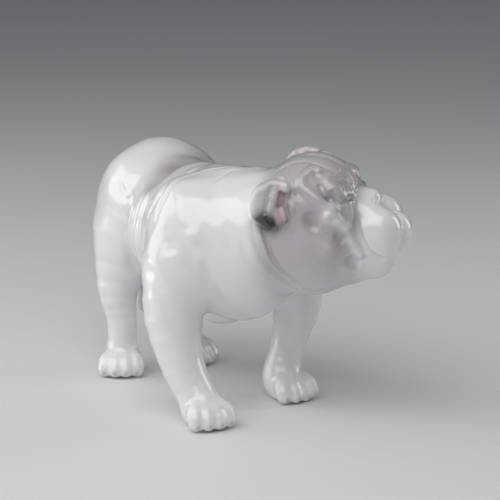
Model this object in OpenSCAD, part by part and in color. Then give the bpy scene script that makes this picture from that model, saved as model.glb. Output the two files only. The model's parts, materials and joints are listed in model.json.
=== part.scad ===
// Standing bulldog figurine: slip-cast porcelain castings luted together and glazed.
// The dog faces +X, its left side is +Y, and it stands on z = 0.

/* [Stance] */
// Distance along X from the hind paws to the left forepaw
wheelbase = 88; // [75:1:110]
// How far the right forepaw steps ahead of the left one
fore_step = 19; // [0:1:25]
// Distance between the forepaw centres
fore_track = 64; // [54:1:80]
// Distance between the hind paw centres
hind_track = 40; // [36:1:56]
// How far the hind paws stand to the dog's right of its middle
hind_sway = 4; // [0:0.5:7]
// How far the hind paws turn out, in degrees
hind_turn_out = 26; // [0:1:35]
// Height of the back over the shoulders
back_height = 123.5; // [105:0.5:150]
// How much higher the rump stands than the back
rump_rise = 9.5; // [0:0.5:16]
// Height of the underside of the chest
chest_clearance = 48; // [40:1:58]

/* [Trunk] */
// Length of the rib cage
rib_length = 100; // [84:1:120]
// Width of the rib cage
rib_width = 70; // [58:1:84]
// Depth of the rib cage
rib_depth = 72; // [62:1:84]
// Length of the rounded fore chest
chest_length = 56; // [48:1:66]
// Width of the fore chest between the legs
chest_width = 56; // [46:1:66]
// Width over both shoulders
shoulder_span = 90; // [76:1:106]
// Width of the loin, behind the ribs
loin_width = 67; // [56:1:80]
// Length of the rump
rump_length = 62; // [52:1:74]
// Width of the rump
rump_width = 58; // [48:1:70]
// Diameter of the neck at the collar line
neck_diameter = 60; // [52:1:70]

/* [Head] */
// Length of the skull
skull_length = 49; // [42:1:60]
// Width of the skull
skull_width = 52; // [45:1:63]
// Height of the skull
skull_height = 45; // [38:1:54]
// How far the chin stands ahead of the centre of the skull
chin_reach = 44; // [40:1:52]
// Turn of the head to the dog's left, in degrees
head_turn = 43; // [20:1:50]
// Sideways tilt of the head, left ear up, in degrees
head_tilt = 10; // [0:1:14]
// Width of the flews, the hanging upper lips
flew_width = 39; // [33:1:46]
// Height of an ear
ear_height = 22; // [18:1:28]
// How far an ear stands off the skull
ear_depth = 10; // [7:1:13]

/* [Legs and tail] */
// Diameter of a foreleg at the elbow
elbow_diameter = 28; // [23:1:34]
// Diameter of a foreleg at the wrist
wrist_diameter = 21; // [17:1:26]
// Diameter of a hind leg at the hock
hock_diameter = 17; // [15:1:22]
// Length of a paw
paw_length = 28; // [24:1:34]
// Width of a paw
paw_width = 25; // [21:1:30]
// Height of a paw
paw_height = 16; // [13:1:20]
// Length of the short screw tail
tail_length = 13; // [10:1:18]
// Diameter of the tail at its root
tail_diameter = 9; // [7:1:11]

/* [Castings] */
// Wall of the two hollow castings
wall = 3.5; // [2.5:0.5:5]
// Points around the trunk
trunk_sides = 36; // [24:4:40]
// Points around the head
head_sides = 32; // [24:4:40]
// Points around a leg
leg_sides = 22; // [16:2:26]

/* [Hidden] */

LEFT = 1;
RIGHT = -1;
UP = [0, 0, 1];
FORWARD = [1, 0, 0];
GLAZE = [0.93, 0.92, 0.93];
HEAD_GLAZE = [0.74, 0.70, 0.72];
EAR_GLAZE = [0.55, 0.50, 0.52];

// The finished figure's origin is under the middle of its own box
centre_x = 14.95;
centre_y = 5.85;

// Where the legs stand
fore_x = wheelbase * 0.42;
hind_x = fore_x - wheelbase;

// A seam is a plane: [outward normal, distance from the origin]. A seat is a round patch of one:
// the same two values, then its middle and its radius.
function seam(normal, point) = let(n = normal / norm(normal)) [n, n * point];
function seat(normal, point, radius) = concat(seam(normal, point), [point, radius]);

// Masses of clay: [shape, ...dimensions..., blend radius]
BALL = 0;
LIMB = 1;
function ball(at, size, blend, turn = [0, 0, 0]) = [BALL, at, size / 2, turn, blend];
function limb(from, to, d1, d2, blend) = [LIMB, from, to, [d1 / 2, d2 / 2], blend];

function about_x(v, a) = [v.x, v.y * cos(a) - v.z * sin(a), v.y * sin(a) + v.z * cos(a)];
function about_y(v, a) = [v.x * cos(a) + v.z * sin(a), v.y, v.z * cos(a) - v.x * sin(a)];
function about_z(v, a) = [v.x * cos(a) - v.y * sin(a), v.x * sin(a) + v.y * cos(a), v.z];
function unturn(v, t) = about_x(about_y(about_z(v, -t.z), -t.y), -t.x);

// Distance from a point to one mass, negative inside it
function to_ball(p, m) =
    let(q = unturn(p - m[1], m[3]), r = m[2],
        u = [q.x / r.x, q.y / r.y, q.z / r.z],
        k = norm(u),
        g = norm([u.x / r.x, u.y / r.y, u.z / r.z]))
    g == 0 ? -min(r) : k * (k - 1) / g;
function to_limb(p, m) =
    let(axis = m[2] - m[1], h = max(0, min(1, (p - m[1]) * axis / (axis * axis))))
    norm(p - m[1] - h * axis) - m[3][0] - (m[3][1] - m[3][0]) * h;
function to_mass(p, m) = m[0] == BALL ? to_ball(p, m) : to_limb(p, m);

// Two distances run together as wet clay is smoothed, over k millimetres
function smooth(a, b, k) = let(h = max(k - abs(a - b), 0) / k) min(a, b) - h * h * k / 4;
function clay(p, masses, i = 0, d = 1000) =
    i == len(masses) ? d : clay(p, masses, i + 1, smooth(d, to_mass(p, masses[i]), masses[i][4]));

// How far a ray from inside the clay runs before it comes out, or meets a seam plane
SEARCH_STEPS = 12;
function out_of(c, dir, lo, hi, masses, inset, n = SEARCH_STEPS) =
    n == 0 ? (lo + hi) / 2 :
    let(mid = (lo + hi) / 2)
    clay(c + mid * dir, masses) + inset > 0
        ? out_of(c, dir, lo, mid, masses, inset, n - 1)
        : out_of(c, dir, mid, hi, masses, inset, n - 1);
function to_seam(c, dir, s, inset, far) =
    let(along = s[0] * dir, t = along > 0.001 ? (s[1] - inset - s[0] * c) / along : far)
    len(s) == 2 || norm(c + t * dir - s[2]) < s[3] ? t : far;
function reach(c, dir, far, masses, seams, inset) =
    min(concat([out_of(c, dir, 0, far, masses, inset)],
               [for (s = seams) to_seam(c, dir, s, inset, far)]));

// A smooth path through a few points, at t from 0 to 1
function on_path(points, t) =
    let(n = len(points) - 1, s = min(t, 0.9999) * n, i = floor(s), f = s - i,
        a = points[max(i - 1, 0)], b = points[i], c = points[i + 1], d = points[min(i + 2, n)])
    b + f * (c - a) / 2 + f * f * (2 * a - 5 * b + 4 * c - d) / 2
      + f * f * f * (3 * b - a - 3 * c + d) / 2;

// One ring of skin: rays fanned out from a centre, square to a normal, counted from a side
function ring(c, normal, reference, sides, far, masses, seams, inset) =
    let(n = normal / norm(normal),
        side = cross(reference, n) / norm(cross(reference, n)),
        top = cross(n, side))
    [for (i = [0 : sides - 1])
        let(a = 360 * i / sides, dir = side * cos(a) + top * sin(a))
        c + dir * reach(c, dir, far, masses, seams, inset)];

// Faces between rings that follow each other, and fans that close an end
function belt(rings, sides, first = 0) =
    [for (r = [0 : rings - 2]) for (i = [0 : sides - 1])
        let(a = first + r * sides + i, b = first + r * sides + (i + 1) % sides)
        for (f = [[a, b + sides, b], [a, a + sides, b + sides]]) f];
function fan_start(pole, first, sides) =
    [for (i = [0 : sides - 1]) [pole, first + i, first + (i + 1) % sides]];
function flipped(faces) = [for (f = faces) [f[0], f[2], f[1]]];
function joined(lists) = [for (l = lists) for (x = l) x];

// --- the clay of the whole figure ---
rump_top = back_height + rump_rise;
rump_depth = rump_length;
rib_at = [fore_x - 27, 0, back_height - rib_depth / 2];
chest_depth = rib_depth - 8;
chest_at = [fore_x + 7, 0, chest_clearance + chest_depth / 2];
shoulder_size = [48, 36, 66];
rump_at = [hind_x + 5, 0, rump_top - rump_depth / 2];
thigh_size = [48, 30, 68];
neck_root = [fore_x + 1, 0, back_height - neck_diameter / 2 + 1];
neck_head = [fore_x + 27, 13, back_height - neck_diameter / 2 + 5];

function shoulder(side) =
    ball([fore_x - 7, side * (shoulder_span - shoulder_size.y) / 2, rib_at.z - 2],
         shoulder_size, 12, [0, -8, 0]);
function thigh(side) =
    ball([hind_x + 1, side * (rump_width / 2 - 11), rump_at.z - 22], thigh_size, 14, [0, 6, 0]);
rib_cage = ball(rib_at, [rib_length, rib_width, rib_depth], 14, [0, 2, 0]);
fore_chest = ball(chest_at, [chest_length, chest_width, chest_depth], 14);
loin = ball([hind_x + 37, 0, back_height - 35.5], [60, loin_width, 58], 14);
groin = ball([hind_x + 15, 0, rump_top - 73], [16, 16, 18], 5);
rump = ball(rump_at, [rump_length, rump_width, rump_depth], 18);
neck = limb(neck_root, neck_head, neck_diameter + 1, neck_diameter, 14);

// Legs: joints from the trunk down to the paw, and the thickness at each
paw_x_offset = 3;
function fore_ahead(side) = side == RIGHT ? fore_step : 0;
function fore_joints(side) =
    let(y = side * fore_track / 2, step = fore_ahead(side))
    [[fore_x - 3, side * (fore_track / 2 + 1), 78],
     [fore_x - 2 + step * 0.2, y + side * 4, 52],
     [fore_x - 3 + step * 0.68, y + side * 2, 27],
     [fore_x - 1 + step, y - side * 2, 10]];
fore_girths = [elbow_diameter + 6, elbow_diameter, wrist_diameter + 1, wrist_diameter - 2];
function hind_joints(side) =
    let(y = side * hind_track / 2 - hind_sway)
    [[hind_x + 1, side * (rump_width / 2 - 10), 78],
     [hind_x, y, 50],
     [hind_x, y, 30],
     [hind_x + 1, y, 9]];
hind_girths = [hock_diameter + 18, hock_diameter + 7, hock_diameter, hock_diameter - 1];
function links(j, g) =
    [for (i = [0 : len(j) - 2]) limb(j[i], j[i + 1], g[i], g[i + 1], i == 0 ? 8 : 6)];

// A paw: the pad with four toes fanned round its front, turned about the ankle
TOES = 4;
function on_paw(ankle, turn, v) = [ankle.x, ankle.y, 0] + about_z(v, turn);
function paw(ankle, turn) =
    let(pad = ball(on_paw(ankle, turn, [paw_x_offset, 0, paw_height * 0.45]),
                   [paw_length - 5, paw_width - 2, paw_height + 2], 6, [0, 0, turn]),
        toe_d = paw_width / TOES + 3,
        reach_x = (paw_length - toe_d) / 2 - 1)
    concat([pad], [for (i = [0 : TOES - 1])
        let(f = (2 * i - TOES + 1) / (TOES - 1),
            toe_at = [paw_x_offset + 2 + reach_x * (1 - 0.3 * f * f),
                      f * (paw_width - toe_d) / 2, paw_height * 0.4])
        ball(on_paw(ankle, turn, toe_at), [toe_d + 5, toe_d, paw_height * 0.9], 3,
             [0, 0, f * 20 + turn])]);

// Head, worked out about the middle of the skull and then turned on the neck
skull_at = [fore_x + 43, 26, back_height - 17.5];
function turn_as_head(v) = about_z(about_x(v, head_tilt), head_turn);
function on_head(p) = skull_at + turn_as_head(p);
muzzle_x = chin_reach - 17.5;
flew_d = flew_width / 2;
skull = ball([-5, 0, 8.5], [skull_length, skull_width, skull_height], 10);
throat = ball([-8, 0, -22], [52, 44, 38], 10);
function cheek(side) = ball([-3, side * (skull_width / 2 - 11), -8], [46, 29, 52], 9);
function brow(side) = ball([5, side * 12, 15], [17, 17, 16], 4);
function jaw_side(side) = ball([muzzle_x - 10.5, side * 12, -16], [25, 19, 28], 6);
function flew(side) = ball([muzzle_x, side * flew_d / 2, -3.5], [24.4, flew_d, 26.4], 2);
function lip(side) = ball([muzzle_x, side * (flew_d / 2 + 3), -17.5], [18, 12, 17], 3.5);
bridge = ball([15, 0, 3], [22, 20, 20], 5);
nose = ball([muzzle_x - 3, 0, 10.5], [12.8, 13.6, 8.8], 2);
chin_size = [19, 23, 21];
chin = ball([chin_reach - chin_size.x / 2, 0, -6], chin_size, 2);
under_jaw = ball([15, 0, -22], [38, 30, 24], 6);
HEAD_MASSES = concat([for (s = [LEFT, RIGHT]) for (m = [brow(s), jaw_side(s)]) m],
                     [bridge, under_jaw, chin],
                     [for (s = [LEFT, RIGHT]) for (m = [flew(s), lip(s)]) m], [nose]);
// A mass of the head set on the figure, turned as the head is
function set_on_figure(m) = [BALL, on_head(m[1]), m[2], [head_tilt, 0, head_turn], m[4]];
BACK_OF_HEAD = [for (m = [skull, throat, cheek(LEFT), cheek(RIGHT)]) set_on_figure(m)];

// Seams where the castings are luted together
neck_seam = seam([0.82, 0.47, 0.34], [fore_x + 25, 10, back_height - 25]);
function fore_seam(side) =
    seam([0.2, side * 0.66, -0.72], [fore_x - 3, side * chest_width * 0.29, chest_clearance + 2]);
function hind_seam(side) =
    seam([-0.3, side * 0.6, -0.74], [hind_x + 1, side * 8, rump_top - 71]);
// The place on a ball where its surface faces a direction, sunk a little to leave a flat seat
function facing(m, n) =
    let(r = m[2], h = norm([r.x * n.x, r.y * n.y, r.z * n.z]))
    m[1] + [r.x * r.x * n.x, r.y * r.y * n.y, r.z * r.z * n.z] / h;
seat_sink = 0.9;
function seat_point(m, n) = let(u = n / norm(n)) facing(m, u) - seat_sink * u;
function ear_direction(side) = [-0.45, side * 0.82, 0.36];
seat_margin = 4;
function ear_seat(side) =
    seat(turn_as_head(ear_direction(side)), on_head(seat_point(skull, ear_direction(side))),
         ear_height / 2 * ear_swell(0) + seat_margin);
tail_direction = [-0.97, 0, 0.24];
tail_seat = seat(tail_direction, seat_point(rump, tail_direction), tail_diameter / 2 + seat_margin);

FORE_CLAY = [rib_cage, fore_chest, shoulder(LEFT), shoulder(RIGHT), neck];
TRUNK_CLAY = concat(FORE_CLAY, [loin, groin, rump, thigh(LEFT), thigh(RIGHT)], BACK_OF_HEAD,
                    [for (s = [LEFT, RIGHT]) links(fore_joints(s), fore_girths)[0]],
                    [for (s = [LEFT, RIGHT]) links(hind_joints(s), hind_girths)[0]]);
LEG_SEAMS = [for (s = [LEFT, RIGHT]) for (p = [fore_seam(s), hind_seam(s)]) p];

// A hollow casting: an outer and an inner skin, open where the last ring lies in its seam
module shell(outer_rings, outer_pole, inner_rings, inner_pole, sides) {
    outer = concat([outer_pole], joined(outer_rings));
    inner = concat([inner_pole], joined(inner_rings));
    inner_at = len(outer);
    outer_last = 1 + (len(outer_rings) - 1) * sides;
    inner_last = inner_at + 1 + (len(inner_rings) - 1) * sides;
    rim = [for (i = [0 : sides - 1])
        let(j = (i + 1) % sides)
        for (f = [[outer_last + i, inner_last + j, outer_last + j],
                  [outer_last + i, inner_last + i, inner_last + j]]) f];
    faces = concat(fan_start(0, 1, sides), belt(len(outer_rings), sides, 1),
                   flipped(fan_start(inner_at, inner_at + 1, sides)),
                   flipped(belt(len(inner_rings), sides, inner_at + 1)), rim);
    polyhedron(points = concat(outer, inner), faces = faces);
}

// --- torso ---
SPINE = [[rump_at.x - rump_length / 2 + 2.5, 0, rump_at.z - 3],
         [rump_at.x - 6, 0, rump_at.z - 2],
         [rump_at.x + 26, 0, rib_at.z + 4],
         [rib_at.x + 12, 0, rib_at.z],
         [fore_x - 4, 0, rib_at.z - 1],
         [fore_x + 12, 3, rib_at.z + 4],
         [fore_x + 25, 10, back_height - 25]];
TRUNK_RINGS = 30;
INNER_START = 0.06;
function spine_normal(t) = let(w = max(0, (t - 0.6) / 0.4)) (1 - w) * [1, 0, 0] + w * neck_seam[0];
function trunk_ring(t, seats, inset) =
    ring(on_path(SPINE, t), spine_normal(t), UP, trunk_sides, 90, TRUNK_CLAY,
         concat(LEG_SEAMS, seats), inset);
function end_point(c, dir, masses, seams, inset) = c + dir * reach(c, dir, 60, masses, seams, inset);
// Rings lie closer together round the rump, where they also have to meet the tail
function eased(f) = f * (0.3 + 0.7 * f);
module torso() {
    outer = [for (i = [0 : TRUNK_RINGS]) trunk_ring(eased(i / TRUNK_RINGS), [tail_seat], 0)];
    inner = [for (i = [0 : TRUNK_RINGS - 2])
        trunk_ring(INNER_START + (1 - INNER_START) * i / (TRUNK_RINGS - 2), [], wall)];
    color(GLAZE)
        shell(outer, end_point(on_path(SPINE, 0), [-1, 0, 0], TRUNK_CLAY, [tail_seat], 0),
              inner, end_point(on_path(SPINE, INNER_START), [-1, 0, 0], TRUNK_CLAY, [], wall),
              trunk_sides);
}

// --- head ---
HEAD_RINGS = 26;
HEAD_INNER = 18;
HEAD_AXIS = concat([SPINE[6]], [for (p = [[-12, 0, -6], [4, 0, -6], [20, 0, -6],
                                       [chin_reach - 9, 0, -7], [chin_reach - 4.5, 0, -7]]) on_head(p)]);
INNER_END = 0.66;
face_way = turn_as_head(FORWARD);
function head_normal(t) = let(w = max(0, 1 - t / 0.4)) (1 - w) * face_way + w * neck_seam[0];
HEAD_ALL = concat(FORE_CLAY, BACK_OF_HEAD, [for (m = HEAD_MASSES) set_on_figure(m)]);
EAR_SEATS = [ear_seat(LEFT), ear_seat(RIGHT)];
function head_ring(t, seats, inset) =
    ring(on_path(HEAD_AXIS, t), head_normal(t), turn_as_head(UP), head_sides, 60, HEAD_ALL,
         seats, inset);
// Rings run from the chin back to the neck, so that the open end comes last
function reversed(list) = [for (i = [len(list) - 1 : -1 : 0]) list[i]];
function turned_back(r) = reversed(r);
module head_at() translate(skull_at) rotate([0, 0, head_turn]) rotate([head_tilt, 0, 0]) children();
module head() {
    outer = [for (i = [HEAD_RINGS : -1 : 0]) turned_back(head_ring(i / HEAD_RINGS, EAR_SEATS, 0))];
    inner = [for (i = [HEAD_INNER : -1 : 0])
        turned_back(head_ring(INNER_END * i / HEAD_INNER, [], wall))];
    color(HEAD_GLAZE)
        shell(outer, end_point(on_path(HEAD_AXIS, 1), face_way, HEAD_ALL, [], 0),
              inner, end_point(on_path(HEAD_AXIS, INNER_END), face_way, HEAD_ALL, [], wall),
              head_sides);
}

// --- legs: rings from the seam, which slope like it, down to the flat sole ---
LEG_RINGS = 15;
function across(a, b, s) = let(t = (s[1] - s[0] * a) / (s[0] * (b - a))) a + t * (b - a);
function at_height(path, z, i = 0) =
    i == len(path) - 2 || z >= path[i + 1].z
        ? let(f = (path[i].z - z) / (path[i].z - path[i + 1].z)) path[i] + f * (path[i + 1] - path[i])
        : at_height(path, z, i + 1);
module leg(joints, girths, cut, turn, trunk_masses) {
    top = across(joints[0], joints[1], cut);
    foot = joints[3];
    path = [top, joints[1], joints[2], foot, on_paw(foot, turn, [paw_x_offset, 0, 0])];
    masses = concat(trunk_masses, links(joints, girths), paw(foot, turn));
    level_z = paw_height * 0.8;
    rings = [for (i = [0 : LEG_RINGS])
        let(f = i / LEG_RINGS, z = top.z * (1 - f) * (1 - 0.25 * f), c = at_height(path, z),
            w = max(0, (z - level_z) / (top.z - level_z)))
        ring(c, w * -cut[0] + (1 - w) * UP, FORWARD, leg_sides, 40, masses, [], 0)];
    first = [for (i = [0 : leg_sides - 1]) i];
    last = [for (i = first) LEG_RINGS * leg_sides + i];
    polyhedron(points = joined(rings),
               faces = concat([reversed(first)], flipped(belt(LEG_RINGS + 1, leg_sides)), [last]));
}
module foreleg(side) {
    color(GLAZE)
        leg(fore_joints(side), fore_girths, fore_seam(side), 0, [rib_cage, fore_chest, shoulder(side)]);
}
module hind_leg(side) {
    color(GLAZE)
        leg(hind_joints(side), hind_girths, hind_seam(side), side * hind_turn_out, [rump, thigh(side)]);
}

// --- ears and tail: lofts that start flat on their seats ---
module loft(rings, tip, sides) {
    base = [for (i = [0 : sides - 1]) i];
    end = (len(rings) - 1) * sides;
    polyhedron(points = concat(joined(rings), [tip]),
               faces = concat([base], belt(len(rings), sides),
                              [for (i = base) [end + i, len(rings) * sides, end + (i + 1) % sides]]));
}
// A folded rose ear: an oval leaf that swings back and is dished in front
EAR_RINGS = 9;
EAR_SIDES = 24;
EAR_WIDTH_SHARE = 0.78;
ear_sweep = [-5, 1, -4];
function ear_swell(s) = sqrt(1 - s * s) * (0.82 + 0.7 * s);
module ear(side) {
    n = ear_direction(LEFT) / norm(ear_direction(LEFT));
    across_ear = cross(UP, n) / norm(cross(UP, n));
    up_ear = cross(n, across_ear);
    root = seat_point(skull, n);
    rings = [for (k = [0 : EAR_RINGS - 1])
        let(s = 0.97 * k / (EAR_RINGS - 1), c = root + n * ear_depth * s + ear_sweep * s * s)
        [for (i = [0 : EAR_SIDES - 1])
            let(a = 360 * i / EAR_SIDES,
                dish = 1 - 0.45 * s * pow(max(0, -cos(a)), 3),
                r = ear_swell(s) * dish)
            c + across_ear * cos(a) * r * ear_height / 2 * EAR_WIDTH_SHARE
              + up_ear * sin(a) * r * ear_height / 2]];
    tip = root + n * ear_depth + ear_sweep;
    color(EAR_GLAZE) head_at() mirror([0, side == RIGHT ? 1 : 0, 0]) loft(rings, tip, EAR_SIDES);
}
// A short screw tail, curling down from its root
TAIL_RINGS = 9;
TAIL_SIDES = 14;
TAIL_BEND = 100;
module tail() {
    n = tail_seat[0];
    root = seat_point(rump, n);
    side = [0, 1, 0];
    down = cross(n, side);
    bend_radius = tail_length * 180 / (TAIL_BEND * PI);
    function middle(s) = let(a = TAIL_BEND * s)
        root + bend_radius * (n * sin(a) + down * (1 - cos(a))) + side * tail_diameter / 4 * s * s;
    rings = [for (k = [0 : TAIL_RINGS - 1])
        let(s = 0.96 * k / (TAIL_RINGS - 1), a = TAIL_BEND * s, sunward = down * cos(a) - n * sin(a),
            r = tail_diameter / 2 * sqrt(1 - s * s * s))
        [for (i = [0 : TAIL_SIDES - 1])
            let(b = 360 * i / TAIL_SIDES) middle(s) + r * (side * cos(b) + sunward * sin(b))]];
    color(GLAZE) loft(rings, middle(1), TAIL_SIDES);
}

translate([-centre_x, -centre_y, 0]) {
    torso();
    head();
    foreleg(RIGHT);  // right_foreleg
    foreleg(LEFT);  // left_foreleg
    hind_leg(RIGHT);  // right_hind_leg
    hind_leg(LEFT);  // left_hind_leg
    ear(RIGHT);  // right_ear
    ear(LEFT);  // left_ear
    tail();
}
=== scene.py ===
# %% [markdown]
# # A porcelain bulldog
#
# The figure is slip-cast in nine moulds: a hollow torso, a hollow head, two folded ears, four
# legs and a short tail. The maker lutes them together with slip, sponges the joints away, sprays
# grey underglaze, dips the whole dog in a clear glaze and fires it. This lesson follows the same
# order. The frame comes first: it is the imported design, and every place below is worked out
# from it, so nothing has to be fitted afterwards.

# %% Load the frame
import json
import math
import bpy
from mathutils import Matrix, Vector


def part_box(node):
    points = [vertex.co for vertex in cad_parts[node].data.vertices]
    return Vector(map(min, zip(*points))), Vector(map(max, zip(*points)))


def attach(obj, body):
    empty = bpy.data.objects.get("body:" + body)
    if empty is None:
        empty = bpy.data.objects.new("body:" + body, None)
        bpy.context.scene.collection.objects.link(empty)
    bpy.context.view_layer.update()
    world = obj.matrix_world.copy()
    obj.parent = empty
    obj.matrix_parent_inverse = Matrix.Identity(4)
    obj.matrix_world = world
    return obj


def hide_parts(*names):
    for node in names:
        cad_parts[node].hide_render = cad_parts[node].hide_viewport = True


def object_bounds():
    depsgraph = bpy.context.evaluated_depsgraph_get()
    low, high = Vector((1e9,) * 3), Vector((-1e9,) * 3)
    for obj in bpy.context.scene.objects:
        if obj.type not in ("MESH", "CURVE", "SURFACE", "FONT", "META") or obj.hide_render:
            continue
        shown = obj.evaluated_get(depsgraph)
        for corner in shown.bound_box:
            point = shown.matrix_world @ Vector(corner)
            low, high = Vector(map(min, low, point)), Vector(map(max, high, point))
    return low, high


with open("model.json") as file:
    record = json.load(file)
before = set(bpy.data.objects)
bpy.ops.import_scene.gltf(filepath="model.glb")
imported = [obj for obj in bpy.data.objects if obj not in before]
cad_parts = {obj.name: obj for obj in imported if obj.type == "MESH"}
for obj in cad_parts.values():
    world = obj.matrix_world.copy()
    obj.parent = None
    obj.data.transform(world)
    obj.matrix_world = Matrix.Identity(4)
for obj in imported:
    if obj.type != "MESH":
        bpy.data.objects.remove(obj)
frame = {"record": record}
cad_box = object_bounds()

from concurrent.futures import ThreadPoolExecutor

import bpy
import numpy as np
import openvdb
from mathutils import Vector

MM = 0.001
LEFT = 1
RIGHT = -1
SIDES = (LEFT, RIGHT)

print("The design's box in metres:", [tuple(round(v, 4) for v in corner) for corner in cad_box])

# %% [markdown]
# ## Where the dog stands
#
# A sculptor marks the floor first: where each sole stands, and the point halfway along the
# body on the line between the forepaws. The soles are mounts in the record. Everything below
# is in millimetres from that mark, with +X the way the body faces, +Y the dog's left, +Z up.
# The hind paws turn out, as a bulldog's do, and stand a little to the right of the body.

# %% Find the soles and the sculptor's mark
soles = {m["name"].replace("_sole", ""): np.array(m["pos_m"]) / MM
         for m in frame["record"]["mounts"]}
mark = sum(soles.values()) / len(soles)
mark[1] = (soles["right_fore"][1] + soles["left_fore"][1]) / 2
paws = {name: at - mark for name, at in soles.items()}
PAW_TURN = {"right_fore": -6, "left_fore": 4, "right_hind": -30, "left_hind": 22}
fore_x = (paws["right_fore"][0] + paws["left_fore"][0]) / 2 - 11.5
hind_x = (paws["right_hind"][0] + paws["left_hind"][0]) / 2 - 3.7
print("Sculptor's mark:", mark.round(2), "fore legs hang at x", round(fore_x, 2))

# %% [markdown]
# ## Clay by distances
#
# A ceramic dog has no flat faces and no edges to extrude, so box modelling gives a stiff
# result. Here each lump of clay is a distance function: a formula that says how far a point
# lies from the lump's skin, negative inside. Two lumps are pressed together by a smooth
# minimum, which leaves a fillet as wide as the thumb that pressed it.

# %% Lumps and how they join
def turned(yaw, pitch, roll):
    """Rotation matrix of a turn about Z, then Y, then X, in degrees."""
    a, b, c = np.radians((yaw, pitch, roll))
    about_z = np.array([[np.cos(a), -np.sin(a), 0], [np.sin(a), np.cos(a), 0], [0, 0, 1]])
    about_y = np.array([[np.cos(b), 0, np.sin(b)], [0, 1, 0], [-np.sin(b), 0, np.cos(b)]])
    about_x = np.array([[1, 0, 0], [0, np.cos(c), -np.sin(c)], [0, np.sin(c), np.cos(c)]])
    return about_z @ about_y @ about_x


def joined(a, b, thumb):
    """Smooth minimum: the two lumps pressed together with a fillet."""
    h = np.maximum(thumb - np.abs(a - b), 0) / thumb
    return np.minimum(a, b) - h * h * thumb / 4


def ball(p, at, radii, turn=None):
    """Distance to an egg of clay."""
    q = p - np.array(at, float)
    if turn is not None:
        q = q @ turned(*turn)
    q = q / np.array(radii, float)
    k0 = np.sqrt(np.einsum("ij,ij->i", q, q))
    q = q / np.array(radii, float)
    k1 = np.sqrt(np.einsum("ij,ij->i", q, q))
    return k0 * (k0 - 1) / np.maximum(k1, 1e-9)


def roll(p, a, b, radius_a, radius_b):
    """Distance to a roll of clay that tapers from a to b."""
    a = np.array(a, float)
    along = np.array(b, float) - a
    h = np.clip((p - a) @ along / (along @ along), 0, 1)
    q = p - a - h[:, None] * along
    return np.sqrt(np.einsum("ij,ij->i", q, q)) - (radius_a + (radius_b - radius_a) * h)


def smooth_line(points, steps=6):
    """Catmull-Rom curve through the points."""
    P = np.array(points, float)
    if len(P) < 3:
        return P
    P = np.vstack([P[0], P, P[-1]])
    t = (np.arange(steps) / steps)[:, None]
    out = [0.5 * (2 * b + (c - a) * t + (2 * a - 5 * b + 4 * c - d) * t**2
                  + (3 * b - a - 3 * c + d) * t**3)
           for a, b, c, d in zip(P, P[1:], P[2:], P[3:])]
    return np.vstack(out + [P[-1]])


def coil(p, points, radii, steps=3):
    """A roll that follows a smooth line and swells smoothly along it."""
    line = smooth_line([(*point, radius) for point, radius in zip(points, radii)], steps)
    d = roll(p, line[0, :3], line[1, :3], line[0, 3], line[1, 3])
    for a, b in zip(line[1:], line[2:]):
        d = joined(d, roll(p, a[:3], b[:3], a[3], b[3]), 0.6)
    return d


print("Lumps ready: ball, roll and coil")

# %% [markdown]
# ## Tools that mark the clay
#
# Folds are what make a bulldog. A loop tool or a fingernail drawn over the clay leaves a crease,
# and a thin coil smoothed down leaves a ridge. Both are a stroke: a smooth line laid on the
# skin, with a width and a height that fade out at its ends. A dab is one press of a fingertip.

# %% Strokes and dabs
def slope(skin, p, reach=0.05):
    """The way out of the clay at p, from four nearby readings."""
    corners = np.array([[1, -1, -1], [-1, -1, 1], [-1, 1, -1], [1, 1, 1]], float)
    n = sum(c * skin(p + c * reach)[:, None] for c in corners)
    return n / np.maximum(np.linalg.norm(n, axis=1), 1e-9)[:, None]


def onto(skin, p, rounds=3):
    """Moves points onto the skin."""
    for _ in range(rounds):
        p = p - slope(skin, p) * skin(p)[:, None]
    return p


def stroke(skin, points, width, height, fade=0.25):
    """A ridge (height over 0) or a crease (under 0) laid on the skin."""
    line = onto(skin, smooth_line(points))
    steps = np.linalg.norm(line[1:] - line[:-1], axis=1)
    return {"line": line, "width": width, "height": height, "fade": fade,
            "steps": steps, "along": np.concatenate([[0], np.cumsum(steps)]),
            "low": line.min(0) - 3 * width, "high": line.max(0) + 3 * width}


def near_line(p, s):
    """Distance from each point to the stroke's line, and how far along it is, from 0 to 1."""
    best = np.full(len(p), 1e9)
    place = np.zeros(len(p))
    for i, step in enumerate(s["steps"]):
        along = s["line"][i + 1] - s["line"][i]
        h = np.clip((p - s["line"][i]) @ along / max(step * step, 1e-9), 0, 1)
        q = p - s["line"][i] - h[:, None] * along
        d = np.einsum("ij,ij->i", q, q)
        closer = d < best
        best = np.where(closer, d, best)
        place = np.where(closer, (s["along"][i] + h * step) / s["along"][-1], place)
    return np.sqrt(best), place


def marked(p, d, strokes):
    """The skin's distance after the strokes."""
    d = d.copy()
    for s in strokes:
        here = ((p > s["low"]) & (p < s["high"])).all(1)
        if not here.any():
            continue
        away, place = near_line(p[here], s)
        ends = np.clip(np.minimum(place, 1 - place) / s["fade"], 0, 1)
        ends = ends * ends * (3 - 2 * ends)
        d[here] -= s["height"] * ends * np.exp(-(away / s["width"])**2)
    return d


def dabbed(p, d, dabs):
    """The skin's distance after presses of a fingertip: (place, widths, height)."""
    for at, widths, height in dabs:
        q = (p - np.array(at, float)) / np.array(widths, float)
        d = d - height * np.exp(-np.einsum("ij,ij->i", q, q))
    return d


print("Tools ready: strokes and dabs")

# %% [markdown]
# ## The torso's masses
#
# The trunk is built from the skeleton outward: rib cage, fore chest, loin, shoulders, rump,
# thighs and the thick neck. A bulldog is heavy in front and narrow behind, and its rump
# stands higher than its back, which leaves a dip over the loin.

# %% Trunk
skull_at = np.array([fore_x + 43, 26, 106])
GROIN = (hind_x - 3, -4)


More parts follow.
